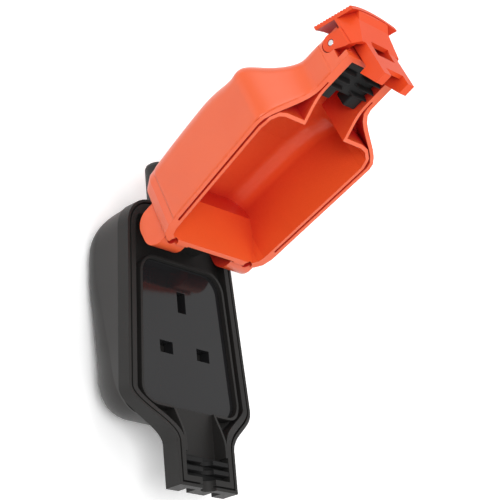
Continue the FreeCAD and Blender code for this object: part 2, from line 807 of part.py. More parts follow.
def latch_hood():
    """Arched thumb hood with grip ribs across it."""
    plate = hood_room(0.0, s.latch_hood_wall)
    ribs = int(s.latch_ribs)
    run = s.latch_hood_reach + s.latch_hood_back
    for index in range(ribs):
        share = (index + 0.5) / ribs
        station = share * run - s.latch_hood_back
        lift = s.latch_hood_rise - share * s.latch_hood_fall + 0.5
        sections = [hood_arch(station - 0.4, lift, 1.0), hood_arch(station + 0.4, lift - 0.3, 1.0)]
        plate = plate.fuse(loft(sections, True))
    return plate


def latch_side_plan():
    """Top view of one side of the latch: along the lug, then slanting in to the arm."""
    inner = s.latch_lug_inner
    outer = s.latch_lug_outer
    near = latch_arm_back()
    front = s.latch_hood_reach + 1.0
    arm_inner = s.latch_arm_half - s.latch_arm_width
    points = [
        (inner, -6.0), (outer, -6.0), (outer, near + 1.2), (s.latch_arm_half, near + 8.2),
        (s.latch_arm_half, front), (arm_inner, front), (arm_inner, near + 6.2), (inner, near + 2.7),
    ]
    corners = [Vector(x, LATCH.y - reach, -FAR) for x, reach in points]
    face = Part.Face(Part.makePolygon(corners + corners[:1]))
    return face.extrude(Vector(0, 0, 2.0 * FAR))


def latch_arm_back():
    """Reach of the arms' rear faces, just clear of the necks' ends."""
    return s.neck_end - s.latch_y + s.latch_end_gap


def latch_front_line():
    """The front face in side view, from the claws up to the hood."""
    foot = latch_arm_back() + s.latch_arm_depth
    return [(foot, -s.latch_arm_drop), (foot, -9.0), (foot + 2.8, 2.6), (foot + 4.7, 6.0), (foot + 4.7, 20.0)]


def latch_lever():
    """Over-end latch: hood, two lugs on the pin, slanting cheeks, a web and two arms with claws."""
    back = latch_arm_back()
    front = latch_front_line()
    lug = s.latch_lug_radius
    room = hood_room(0.8, FAR)
    cheek = [(0.0, -lug), (back - 0.7, -7.1), (back + 1.7, -8.0), (back + 1.7, 2.3), (back - 0.2, 2.4), (0.0, lug)]
    tall = [(back + 1.0, -7.8), front[1], front[2], front[3], front[4], (back + 1.0, 20.0)]
    side = latch_profile(cheek, 0.0, FAR)
    side = side.fuse(latch_profile(tall, 0.0, s.latch_hood_half).common(room))
    side = side.common(latch_side_plan())
    side = side.fuse(rod(lug, s.latch_lug_inner, s.latch_lug_outer, LATCH))
    tip = back - s.latch_end_gap - s.latch_claw_bite
    arm = [
        (back, -2.5), (back, -s.latch_claw_drop), (tip, -s.latch_claw_drop - 0.2), (back, -s.latch_arm_drop),
        front[0], front[1], front[2], (back + 5.7, 2.6),
    ]
    side = side.fuse(latch_profile(arm, s.latch_arm_half - s.latch_arm_width, s.latch_arm_half))
    wall = s.latch_web_wall
    lean = (front[2][0] - front[1][0]) / (front[2][1] - front[1][1])
    web_foot = front[1][0] + lean * (-s.latch_web_low - front[1][1])
    web = [
        (web_foot - wall, -s.latch_web_low), (web_foot, -s.latch_web_low), front[2], front[3], front[4],
        (front[4][0] - wall, front[4][1]), (front[3][0] - wall, front[3][1]), (front[2][0] - wall, front[2][1]),
    ]
    web = latch_profile(web, -s.latch_arm_half, s.latch_arm_half).common(room)
    foot = front[0][0]
    bridge = [
        (foot - wall, -s.latch_bridge_low), (foot, -s.latch_bridge_low),
        (foot, -s.latch_bridge_top), (foot - wall, -s.latch_bridge_top),
    ]
    bridge = latch_profile(bridge, -s.latch_arm_half, s.latch_arm_half)
    body = latch_hood().fuse([side, mirrored(side), web, bridge])
    body = body.cut(rod(s.latch_pin_radius + s.running_fit, -FAR, FAR, LATCH))
    feature("latch", one_solid(body), lid_placement())


# Bodies made from sketches

def plane(body, role):
    """One of the body's own origin planes."""
    return next(item for item in body.Origin.OriginFeatures if item.Role == role)


def sketch_on(body, name, role):
    """An empty sketch on one of the body's own origin planes."""
    sketch = body.newObject("Sketcher::SketchObject", name)
    sketch.AttachmentSupport = (plane(body, role), [""])
    sketch.MapMode = "FlatFace"
    return sketch


def polygon(sketch, points):
    """A closed outline whose corners are bound to the sheet by pairs of formulas."""
    corners = []
    for across, along in points:
        x = float(sheet.evalExpression(across))
        y = float(sheet.evalExpression(along))
        corners.append(Vector(x, y, 0))
    count = len(corners)
    for index, corner in enumerate(corners):
        sketch.addGeometry(Part.LineSegment(corner, corners[(index + 1) % count]), False)
    for index in range(count):
        sketch.addConstraint(Sketcher.Constraint("Coincident", index, 2, (index + 1) % count, 1))
    for index, (formulas, corner) in enumerate(zip(points, corners)):
        for kind, formula, value in zip(("DistanceX", "DistanceY"), formulas, (corner.x, corner.y)):
            number = sketch.addConstraint(Sketcher.Constraint(kind, -1, 1, index, 1, value))
            sketch.setExpression(f"Constraints[{number}]", bound(formula))


def bound(formula):
    """The formula with each size looked up in the sheet."""
    words = formula.replace("(", " ( ").replace(")", " ) ").split()
    return " ".join(f"Sizes.{word}" if word in SIZES else word for word in words)


def circle(sketch, radius):
    """A circle on the sketch's origin, with its radius bound to a formula."""
    value = float(sheet.evalExpression(radius))
    index = sketch.addGeometry(Part.Circle(Vector(0, 0, 0), Vector(0, 0, 1), value), False)
    sketch.addConstraint(Sketcher.Constraint("Coincident", index, 3, -1, 1))
    number = sketch.addConstraint(Sketcher.Constraint("Radius", index, value))
    sketch.setExpression(f"Constraints[{number}]", bound(radius))


def pad(body, sketch, length, both_ways=False):
    """Pads a sketch by a formula's length."""
    result = body.newObject("PartDesign::Pad", sketch.Name + "Pad")
    result.Profile = sketch
    result.Midplane = both_ways
    result.setExpression("Length", bound(length))
    sketch.Visibility = False
    return result


def pocket(body, sketch, length, both_ways=False):
    """Pockets a sketch by a formula's length."""
    result = body.newObject("PartDesign::Pocket", sketch.Name + "Pocket")
    result.Profile = sketch
    result.Midplane = both_ways
    result.setExpression("Length", bound(length))
    return result


def turned(label, points, placement):
    """A piece turned about its own Z axis from a (radius, height) profile."""
    body = doc.addObject("PartDesign::Body", label)
    body.Label = label
    sketch = sketch_on(body, label + "Profile", "XZ_Plane")
    polygon(sketch, points)
    turn = body.newObject("PartDesign::Revolution", label + "Turn")
    turn.Profile = sketch
    turn.ReferenceAxis = (sketch, ["V_Axis"])
    turn.Angle = 360.0
    body.Placement = placement
    return body


def pin(label, radius, half_length, centre):
    """A plain steel pin across the object with a small chamfer at each end."""
    points = [
        ("0", f"0 - {half_length}"), (f"{radius} - 0.3", f"0 - {half_length}"),
        (radius, f"0.3 - {half_length}"), (radius, f"{half_length} - 0.3"),
        (f"{radius} - 0.3", half_length), ("0", half_length),
    ]
    body = turned(label, points, Placement(centre, Rotation(Vector(0, 1, 0), 90)))
    pieces.append(body)


def cable_gland():
    """Black sleeve that holds the supply lead: a flange inside the end wall and a long rounded nose."""
    length = "gland_end - base_end + shell_wall + 2 * gland_flange_width"
    points = [
        ("gland_bore", "0"), ("gland_flange", "0"), ("gland_flange", "gland_flange_width - 0.2"),
        ("gland_radius", "gland_flange_width - 0.2"), ("gland_radius", f"{length} - 2"),
        ("gland_radius - 0.6", f"{length} - 0.7"), ("gland_radius - 1.6", length), ("gland_bore", length),
    ]
    start = flange_back() - s.gland_flange_width + 0.2
    place = Placement(Vector(0, start, GLAND_AXIS), Rotation(Vector(1, 0, 0), -90))
    body = turned("cable_gland", points, place)
    pieces.append(body)


def screw(label, length, places, upward):
    """Slotted screws: one made from sketches, the others placed copies of its shape."""
    body = doc.addObject("PartDesign::Body", label + "_pattern")
    sketch = sketch_on(body, label + "Profile", "XZ_Plane")
    reach = f"{length}"
    points = [
        ("0", "0"), ("screw_head_radius", "0"), ("screw_head_radius", "screw_head_height - 0.5"),
        ("screw_head_radius - 0.5", "screw_head_height"), ("screw_radius", "screw_head_height"),
        ("screw_radius", f"{reach} - 0.6"), ("screw_radius - 0.6", reach), ("0", reach),
    ]
    polygon(sketch, points)
    turn = body.newObject("PartDesign::Revolution", label + "Turn")
    turn.Profile = sketch
    turn.ReferenceAxis = (sketch, ["V_Axis"])
    turn.Angle = 360.0
    groove = sketch_on(body, label + "Slot", "XY_Plane")
    polygon(groove, [
        ("0 - screw_head_radius - 1", "0 - screw_slot / 2"), ("screw_head_radius + 1", "0 - screw_slot / 2"),
        ("screw_head_radius + 1", "screw_slot / 2"), ("0 - screw_head_radius - 1", "screw_slot / 2"),
    ])
    cut = pocket(body, groove, "screw_head_height", True)
    doc.recompute()
    shape = body.Shape
    solids = []
    for place in places:
        copy = shape.copy()
        copy.Placement = Placement(place, Rotation(Vector(1, 0, 0), 0 if upward else 180))
        solids.append(copy)
    feature(label, solids[0] if len(solids) == 1 else Part.Compound(solids))
    return cut


def clamp_screw_x():
    """Offset of the cord clamp's two screws."""
    return s.clamp_half_length - 3.6


def clamp_top():
    """Upper face of the cord clamp."""
    return s.clamp_height + s.clamp_thickness


def cord_clamp():
    """Bar that grips the supply lead inside the back."""
    body = doc.addObject("PartDesign::Body", "cord_clamp")
    body.Label = "cord_clamp"
    sketch = sketch_on(body, "ClampOutline", "XY_Plane")
    polygon(sketch, [
        ("0 - clamp_half_length", "0 - clamp_width / 2"), ("clamp_half_length", "0 - clamp_width / 2"),
        ("clamp_half_length", "clamp_width / 2"), ("0 - clamp_half_length", "clamp_width / 2"),
    ])
    pad(body, sketch, "clamp_thickness")
    holes = sketch_on(body, "ClampHoles", "XY_Plane")
    for side in (-1, 1):
        index = holes.addGeometry(Part.Circle(Vector(side * clamp_screw_x(), 0, 0), Vector(0, 0, 1), s.screw_radius + 0.1))
        radius = holes.addConstraint(Sketcher.Constraint("Radius", index, s.screw_radius + 0.1))
        holes.setExpression(f"Constraints[{radius}]", bound("screw_radius + 0.1"))
        holes.addConstraint(Sketcher.Constraint("PointOnObject", index, 3, -1))
        kind = Sketcher.Constraint("DistanceX", -1, 1, index, 3, side * clamp_screw_x())
        place = holes.addConstraint(kind)
        formula = "clamp_half_length - 3.6" if side > 0 else "3.6 - clamp_half_length"
        holes.setExpression(f"Constraints[{place}]", bound(formula))
    through = pocket(body, holes, "clamp_thickness * 3", True)
    through.Midplane = True
    body.Placement = Placement(Vector(0, s.clamp_y, s.clamp_height), Rotation())
    pieces.append(body)


def contact(label, x, y, turned_quarter):
    """Brass contact: two spring leaves that grip a pin, on a terminal block."""
    body = doc.addObject("PartDesign::Body", label)
    body.Label = label
    grip = "2.2"
    sketch = sketch_on(body, label + "Leaves", "XZ_Plane")
    top = f"{shutter_level() - 2.0 * s.moving_gap}"
    polygon(sketch, [
        (f"0 - {grip} - contact_sheet", "carrier_floor"), (f"{grip} + contact_sheet", "carrier_floor"),
        (f"{grip} + contact_sheet", top), (grip, top), (grip, "carrier_floor + contact_sheet"),
        (f"0 - {grip}", "carrier_floor + contact_sheet"), (f"0 - {grip}", top),
        (f"0 - {grip} - contact_sheet", top),
    ])
    pad(body, sketch, "contact_width", True)
    block = sketch_on(body, label + "Block", "XZ_Plane")
    polygon(block, [
        ("0 - terminal_block / 2", "terminal_bottom"), ("terminal_block / 2", "terminal_bottom"),
        ("terminal_block / 2", "carrier_floor"), ("0 - terminal_block / 2", "carrier_floor"),
    ])
    pad(body, block, "terminal_block", True)
    bore = sketch_on(body, label + "Bore", "XY_Plane")
    circle(bore, "screw_radius + running_fit")
    depth = "terminal_bottom - screw_head_height + terminal_screw_length + 0.3"
    cut = pocket(body, bore, f"2 * ({depth})", True)
    doc.recompute()
    cut.Midplane = True
    angle = 90 if turned_quarter else 0
    body.Placement = Placement(Vector(x, y, 0), Rotation(Vector(0, 0, 1), angle))
    pieces.append(body)


def shutter():
    """Sprung slide that closes the line slots until the earth pin pushes it aside."""
    level = shutter_level()
    half = s.carrier_half_width - 2.0 - 0.4
    front = -0.5 * s.line_slot_height - 1.2
    back = s.earth_offset - 0.5 * s.earth_slot_height + s.shutter_travel
    plate = box((-half, front, level), (half, 12.0, level + s.shutter_thickness))
    nose = side_prism([
        (12.0, level), (back, level), (back - 1.0, level + s.shutter_thickness), (12.0, level + s.shutter_thickness),
    ], -3.2, 3.2)
    plate = plate.fuse(nose)
    seat = spring_seat()
    plate = plate.cut(box((-2.6, front - 1.0, level - 1.0), (2.6, seat, FAR)))
    feature("shutter", one_solid(plate))


def spring_seat():
    """Where the spring pushes on the shutter."""
    return 9.0


def shutter_spring():
    """Fine coil spring between the carrier and the shutter."""
    start = -s.carrier_front + 2.0 + s.fit_gap
    length = spring_seat() - s.fit_gap - start
    radius = s.spring_radius
    helix = Part.makeHelix((length - 2.0 * s.spring_wire) / s.spring_turns, length - 2.0 * s.spring_wire, radius)
    wire = Part.Wire(Part.makeCircle(s.spring_wire, Vector(radius, 0, 0), Vector(0, 1, 0)))
    coil = Part.Wire(helix).makePipeShell([wire], True, True)
    level = shutter_level() + 0.5 * s.shutter_thickness
    place = Placement(Vector(0, start + s.spring_wire, level), Rotation(Vector(1, 0, 0), -90))
    feature("shutter_spring", Part.Solid(coil) if coil.ShapeType != "Solid" else coil, place)


def check_and_write():
    """Checks every object and each piece's shape, then writes one file a piece."""
    doc.recompute()
    for item in doc.Objects:
        bad = {"Invalid", "Error"} & set(item.State)
        if bad:
            raise RuntimeError(f"{item.Label} failed to build: {sorted(bad)}")
    for piece in pieces:
        shape = piece.Shape
        if shape.isNull() or not shape.isValid():
            raise RuntimeError(f"{piece.Label} has no valid shape")
        shape.exportStep(f"parts/{piece.Label}.step")
        print(piece.Label, len(shape.Solids), round(shape.Volume), len(shape.Faces))


def build():
    """Makes every piece, from the base outwards."""
    front_frame()
    back_shell()
    socket_face()
    contact_carrier()
    shutter()
    shutter_spring()
    half_pitch = 0.5 * s.slot_spacing
    contact("live_contact", half_pitch, 0.0, True)
    contact("neutral_contact", -half_pitch, 0.0, True)
    contact("earth_contact", 0.0, s.earth_offset, False)
    terminal = s.terminal_bottom - s.screw_head_height
    screw("live_terminal_screw", "terminal_screw_length", [Vector(half_pitch, 0, terminal)], True)
    screw("neutral_terminal_screw", "terminal_screw_length", [Vector(-half_pitch, 0, terminal)], True)
    screw("earth_terminal_screw", "terminal_screw_length", [Vector(0, s.earth_offset, terminal)], True)
    seat = screw_seat() - s.screw_head_height
    screw("housing_screws", "housing_screw_length", [Vector(x, y, seat) for x, y in housing_screw_places()], True)
    clamp_low = s.clamp_height - s.screw_head_height
    places = [Vector(x, s.clamp_y, clamp_low) for x in (-clamp_screw_x(), clamp_screw_x())]
    screw("cord_clamp_screws", "clamp_screw_length", places, True)
    cord_clamp()
    cable_gland()
    seals()
    lid_shell()
    latch_lever()
    pin("hinge_pin", "hinge_pin_radius", "(hinge_block_half + hinge_bore_depth - 0.4)", HINGE)
    latch_centre = lid_placement().multVec(LATCH)
    pin("latch_pin", "latch_pin_radius", "(latch_lug_outer - 0.1)", latch_centre)
    check_and_write()


build()
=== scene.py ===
"""Looks of an in-line weatherproof socket that lies on its back with its cover open.

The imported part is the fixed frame. This script paints its pieces, dresses the soft and
moulded ones with smoother surfaces, and sets the floor, the light and the camera.
Lengths are in metres. X runs across, Y from the lead's neck to the hinge, Z out of the face.
"""

import logging
import math
from dataclasses import dataclass, field
from enum import Enum

import bmesh
import bpy
import numpy as np
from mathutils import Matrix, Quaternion, Vector


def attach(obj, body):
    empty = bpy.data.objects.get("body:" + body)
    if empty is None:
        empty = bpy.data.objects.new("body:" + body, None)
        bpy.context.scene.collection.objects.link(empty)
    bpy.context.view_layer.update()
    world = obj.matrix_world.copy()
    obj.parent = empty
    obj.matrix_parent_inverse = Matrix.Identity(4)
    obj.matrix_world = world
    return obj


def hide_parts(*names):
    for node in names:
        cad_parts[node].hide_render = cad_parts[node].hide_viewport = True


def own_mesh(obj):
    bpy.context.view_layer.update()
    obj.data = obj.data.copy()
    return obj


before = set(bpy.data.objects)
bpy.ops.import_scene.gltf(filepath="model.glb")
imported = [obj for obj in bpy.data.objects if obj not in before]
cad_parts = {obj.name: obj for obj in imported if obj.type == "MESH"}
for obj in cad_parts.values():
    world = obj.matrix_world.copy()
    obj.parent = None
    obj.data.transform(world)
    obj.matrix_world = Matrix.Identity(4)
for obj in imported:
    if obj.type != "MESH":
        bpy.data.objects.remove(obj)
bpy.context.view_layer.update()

logging.basicConfig(level=logging.INFO, format="%(levelname)s %(name)s: %(message)s")
log = logging.getLogger("outdoor_socket")

MILLIMETRE = 0.001

# Values that every finish shares
CLOUDS_PER_METRE = 38.0
GLOW_REACH = 2.0 * MILLIMETRE
GLOW_TINT = (1.0, 0.35, 0.1)
# Painted shade: the cover and latch colour is darkened and their reflection weakened in closed-in
# corners found by ambient occlusion
PAINTED_SHADE_REACH = 55.0 * MILLIMETRE
PAINTED_SHADE_CLOSED = 0.18
PAINTED_SHADE_OPEN = 0.78
PAINTED_SHADE_SPECULAR = 0.04

# Points closer than this are one point
WELD = 0.0001 * MILLIMETRE


class Grain(Enum):
    """How coarse a moulded surface is: size of its grain and depth of its bumps."""

    POLISHED = (0.004, 0.00001)
    SMOOTH = (0.0016, 0.00002)
    SPARK_ERODED = (0.0004, 0.00005)
    DRAWN = (0.0003, 0.00001)

    @property
    def size(self) -> float:
        """Length of one grain."""
        return self.value[0]

    @property
    def depth(self) -> float:
        """Height of the bumps."""
        return self.value[1]


@dataclass(frozen=True)
class Finish:
    """One surface finish.

    Attributes:
        name: material name.
        colour: linear base colour.
        shade: linear colour that the base colour drifts towards in soft clouds.
        roughness: middle roughness.
        spread: how far the roughness wanders either way.
        grain: moulded texture.
        metallic: 1 for bare metal.
        specular: strength of the mirror part at the surface, 0.5 for plain plastic.
        edge: radius of the light-catching edges.
        glow: share of light that wanders inside the plastic.
        painted_shade: painted shade, a darker linear colour put into closed-in corners where ambient
            occlusion is low.
    """

    name: str
    colour: tuple[float, float, float]
    shade: tuple[float, float, float]
    roughness: float
    spread: float
    grain: Grain
    metallic: float = 0.0
    specular: float = 0.5
    edge: float = 0.25 * MILLIMETRE
    glow: float = 0.0
    painted_shade: tuple[float, float, float] | None = None


# The cover and latch carry a painted shade colour for their closed-in corners
COVER_ORANGE = Finish(
    "cover_orange", (0.86, 0.118, 0.025), (0.80, 0.098, 0.021), 0.30, 0.05, Grain.SMOOTH,
    glow=0.06, painted_shade=(0.52, 0.016, 0.014),
)
LATCH_ORANGE = Finish(
    "latch_orange", (0.84, 0.088, 0.018), (0.77, 0.070, 0.016), 0.38, 0.05, Grain.SMOOTH,
    specular=0.22, glow=0.06, painted_shade=(0.52, 0.020, 0.012),
)
FRAME_BLACK = Finish(
    "frame_black", (0.014, 0.0135, 0.013), (0.020, 0.019, 0.018), 0.50, 0.06, Grain.SPARK_ERODED,
    specular=0.22,
)
SHELL_BLACK = Finish(
    "shell_black", (0.018, 0.0170, 0.016), (0.025, 0.024, 0.023), 0.44, 0.06, Grain.SPARK_ERODED,
    specular=0.32,
)
FACE_BLACK = Finish(
    "face_black", (0.012, 0.012, 0.013), (0.016, 0.016, 0.017), 0.09, 0.02, Grain.POLISHED,
    specular=0.34,
)
SEAL_RUBBER = Finish(
    "seal_rubber", (0.009, 0.009, 0.0092), (0.014, 0.014, 0.014), 0.58, 0.08, Grain.SMOOTH,
    specular=0.14,
)
GLAND_BLACK = Finish(
    "gland_black", (0.014, 0.014, 0.014), (0.020, 0.020, 0.020), 0.50, 0.06, Grain.SMOOTH,
    specular=0.35,
)
INNER_GREY = Finish(
    "inner_grey", (0.05, 0.05, 0.05), (0.06, 0.06, 0.06), 0.55, 0.05, Grain.SPARK_ERODED
)
STEEL = Finish(
    "pin_steel", (0.62, 0.62, 0.63), (0.50, 0.50, 0.51), 0.24, 0.06, Grain.DRAWN, metallic=1.0
)
BRASS = Finish(
    "contact_brass", (0.72, 0.52, 0.22), (0.62, 0.43, 0.17), 0.30, 0.06, Grain.DRAWN, metallic=1.0
)

NODE_FINISHES = {
    "lid_shell": COVER_ORANGE,
    "latch": LATCH_ORANGE,
    "front_frame": FRAME_BLACK,
    "back_shell": SHELL_BLACK,
    "socket_face": FACE_BLACK,
    "base_cable_seal": SEAL_RUBBER,
    "lid_cable_seal": SEAL_RUBBER,
    "cable_gland": GLAND_BLACK,
    "contact_carrier": INNER_GREY,
    "cord_clamp": INNER_GREY,
    "shutter": FRAME_BLACK,
    "hinge_pin": STEEL,
    "latch_pin": STEEL,
    "shutter_spring": STEEL,
    "housing_screws": STEEL,
    "cord_clamp_screws": STEEL,
    "live_contact": BRASS,
    "neutral_contact": BRASS,
    "earth_contact": BRASS,
    "live_terminal_screw": BRASS,
    "neutral_terminal_screw": BRASS,
    "earth_terminal_screw": BRASS,
}


# Materials


def moulded_grain_group() -> bpy.types.NodeTree:
    """Node group shared by every finish: soft clouds over a surface and its fine grain.

    Returns:
        A group that takes the surface's place and the size of its grain, and gives a
        slow cloud from 0 to 1 and a fine height.
    """
    group = bpy.data.node_groups.new("moulded_grain", "ShaderNodeTree")
    for label, kind in (("Place", "NodeSocketVector"), ("Grain Scale", "NodeSocketFloat")):
        group.interface.new_socket(name=label, in_out="INPUT", socket_type=kind)
    for label in ("Cloud", "Height"):
        group.interface.new_socket(name=label, in_out="OUTPUT", socket_type="NodeSocketFloat")
    nodes, links = group.nodes, group.links
    start = nodes.new("NodeGroupInput")
    end = nodes.new("NodeGroupOutput")
    cloud = nodes.new("ShaderNodeTexNoise")
    cloud.inputs["Scale"].default_value = CLOUDS_PER_METRE
    cloud.inputs["Detail"].default_value = 3.0
    grain = nodes.new("ShaderNodeTexNoise")
    grain.inputs["Detail"].default_value = 4.0
    grain.inputs["Roughness"].default_value = 0.6
    links.new(start.outputs["Place"], cloud.inputs["Vector"])
    links.new(start.outputs["Place"], grain.inputs["Vector"])
    links.new(start.outputs["Grain Scale"], grain.inputs["Scale"])
    links.new(cloud.outputs["Fac"], end.inputs["Cloud"])
    links.new(grain.outputs["Fac"], end.inputs["Height"])
    return group


def make_material(finish: Finish, grain_group: bpy.types.NodeTree) -> bpy.types.Material:
    """Builds a finish as a node material.

    Args:
        finish: the finish to build.
        grain_group: the shared group of clouds and grain.

    Returns:
        The material.
    """
    material = bpy.data.materials.new(finish.name)
    material.use_nodes = True
    nodes, links = material.node_tree.nodes, material.node_tree.links
    shader = nodes["Principled BSDF"]
    shader.inputs["Metallic"].default_value = finish.metallic
    shader.inputs["Specular IOR Level"].default_value = finish.specular
    if finish.glow > 0.0:
        shader.inputs["Subsurface Weight"].default_value = finish.glow
        shader.inputs["Subsurface Radius"].default_value = GLOW_TINT
        shader.inputs["Subsurface Scale"].default_value = GLOW_REACH
    place = nodes.new("ShaderNodeTexCoord")
    surface = nodes.new("ShaderNodeGroup")
    surface.node_tree = grain_group
    surface.inputs["Grain Scale"].default_value = 1.0 / finish.grain.size
    links.new(place.outputs["Object"], surface.inputs["Place"])

    tint = nodes.new("ShaderNodeMix")
    tint.data_type = "RGBA"
    tint.inputs["A"].default_value = (*finish.colour, 1.0)
    tint.inputs["B"].default_value = (*finish.shade, 1.0)
    links.new(surface.outputs["Cloud"], tint.inputs["Factor"])
    colour = tint.outputs["Result"]
    # Painted shade: ambient occlusion mixes the colour toward the darker painted-shade colour and
    # lowers the reflection in closed-in corners
    if finish.painted_shade is not None:
        shade_occlusion = nodes.new("ShaderNodeAmbientOcclusion")
        shade_occlusion.samples = 6
        shade_occlusion.inputs["Distance"].default_value = PAINTED_SHADE_REACH
        share = nodes.new("ShaderNodeMapRange")
        share.interpolation_type = "SMOOTHSTEP"
        share.inputs["From Min"].default_value = PAINTED_SHADE_CLOSED
        share.inputs["From Max"].default_value = PAINTED_SHADE_OPEN
        links.new(shade_occlusion.outputs["AO"], share.inputs["Value"])
        depth = nodes.new("ShaderNodeMix")
        depth.data_type = "RGBA"
        depth.inputs["A"].default_value = (*finish.painted_shade, 1.0)
        links.new(share.outputs["Result"], depth.inputs["Factor"])
        links.new(colour, depth.inputs["B"])
        colour = depth.outputs["Result"]
        painted_shade_shine = nodes.new("ShaderNodeMapRange")
        painted_shade_shine.inputs["To Min"].default_value = PAINTED_SHADE_SPECULAR
        painted_shade_shine.inputs["To Max"].default_value = finish.specular
        links.new(share.outputs["Result"], painted_shade_shine.inputs["Value"])
        links.new(painted_shade_shine.outputs["Result"], shader.inputs["Specular IOR Level"])
    links.new(colour, shader.inputs["Base Color"])

    wander = nodes.new("ShaderNodeMapRange")
    wander.inputs["To Min"].default_value = finish.roughness - finish.spread
    wander.inputs["To Max"].default_value = finish.roughness + finish.spread
    links.new(surface.outputs["Cloud"], wander.inputs["Value"])
    links.new(wander.outputs["Result"], shader.inputs["Roughness"])

    edge = nodes.new("ShaderNodeBevel")
    edge.samples = 4
    edge.inputs["Radius"].default_value = finish.edge
    bump = nodes.new("ShaderNodeBump")
    bump.inputs["Strength"].default_value = 1.0
    bump.inputs["Distance"].default_value = finish.grain.depth
    links.new(surface.outputs["Height"], bump.inputs["Height"])
    links.new(edge.outputs["Normal"], bump.inputs["Normal"])
    links.new(bump.outputs["Normal"], shader.inputs["Normal"])
    return material


def paint_cad_nodes(materials: dict[str, bpy.types.Material]) -> None:
    """Puts each CAD node's finish on its material slot.

    Args:
        materials: finished materials by name.
    """
    for name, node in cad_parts.items():
        material = materials[NODE_FINISHES[name].name]
        if not node.data.materials:
            node.data.materials.append(material)
        for index in range(len(node.data.materials)):
            node.data.materials[index] = material
        log.info("painted %s with %s", name, material.name)


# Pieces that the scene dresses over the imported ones


@dataclass(frozen=True)
class Hinge:
    """The cover's hinge line and how far it stands open.

    Attributes:
        y: place of the pin along the object, in millimetres.
        z: height of the pin, in millimetres.
        degrees: angle from the closed cover to the open one.
    """

    y: float = 48.4
    z: float = 43.9
    degrees: float = 113.35

    def opened(self, points: np.ndarray) -> np.ndarray:
        """Turns points of the closed cover to where they are with the cover open.

        Args:
            points: millimetres, X Y Z in the last axis.

        Returns:
            The turned points, in metres.
        """
        angle = math.radians(-self.degrees)
        along, up = points[..., 1] - self.y, points[..., 2] - self.z
        turned = np.empty_like(points)
        turned[..., 0] = points[..., 0]
        turned[..., 1] = self.y + along * math.cos(angle) - up * math.sin(angle)
        turned[..., 2] = self.z + along * math.sin(angle) + up * math.cos(angle)
        return turned * MILLIMETRE


def grid_faces(rows: int, columns: int, wrap: bool, first: int = 0) -> list[tuple[int, int, int, int]]:
    """Quads of a grid of points stored row by row.

    Args:
        rows: number of rows.
        columns: number of columns.
        wrap: whether the last column meets the first.
        first: index of the grid's first point.

    Returns:
        The quads.
    """
    steps = columns if wrap else columns - 1
    return [
        (
            first + row * columns + column,
            first + row * columns + (column + 1) % columns,
            first + (row + 1) * columns + (column + 1) % columns,
            first + (row + 1) * columns + column,
        )
        for row in range(rows - 1)
        for column in range(steps)
    ]


def capped(grid: np.ndarray) -> np.ndarray:
    """Closes a tube: each end gets one more row, with all its points at the middle of the end row.

    Args:
        grid: rows along the tube, columns round it.

    Returns:
        The longer grid.
    """
    first = np.broadcast_to(grid[0].mean(axis=0), grid[:1].shape)
    last = np.broadcast_to(grid[-1].mean(axis=0), grid[:1].shape)
    return np.concatenate([first, grid, last])


def signed_power(value: np.ndarray, exponent: float) -> np.ndarray:
    """Raises the size of each value to a power and keeps its sign.

    Args:
        value: the values.
        exponent: the power.

    Returns:
        The raised values.
    """
    return np.sign(value) * np.abs(value) ** exponent


def surface_object(name: str, grids: list[tuple[np.ndarray, bool]]) -> bpy.types.Object:
    """Makes one smooth object out of grids of points in metres.

    Args:
        name: object name.
        grids: pairs of a rows by columns by 3 array and whether its columns wrap round.

    Returns:
        The object, linked to the scene.
    """
    points, faces = [], []
    for grid, wrap in grids:
        rows, columns = grid.shape[:2]
        faces += grid_faces(rows, columns, wrap, len(points))
        points += grid.reshape(-1, 3).tolist()
    mesh = bpy.data.meshes.new(name)
    mesh.from_pydata(points, [], faces)
    merged = bmesh.new()
    merged.from_mesh(mesh)
    bmesh.ops.remove_doubles(merged, verts=merged.verts, dist=WELD)
    bmesh.ops.recalc_face_normals(merged, faces=merged.faces)
    merged.to_mesh(mesh)
    merged.free()
    mesh.polygons.foreach_set("use_smooth", [True] * len(mesh.polygons))
    mesh.update()
    thing = bpy.data.objects.new(name, mesh)
    bpy.context.scene.collection.objects.link(thing)
    log.info("made %s with %d faces", name, len(faces))
    return thing


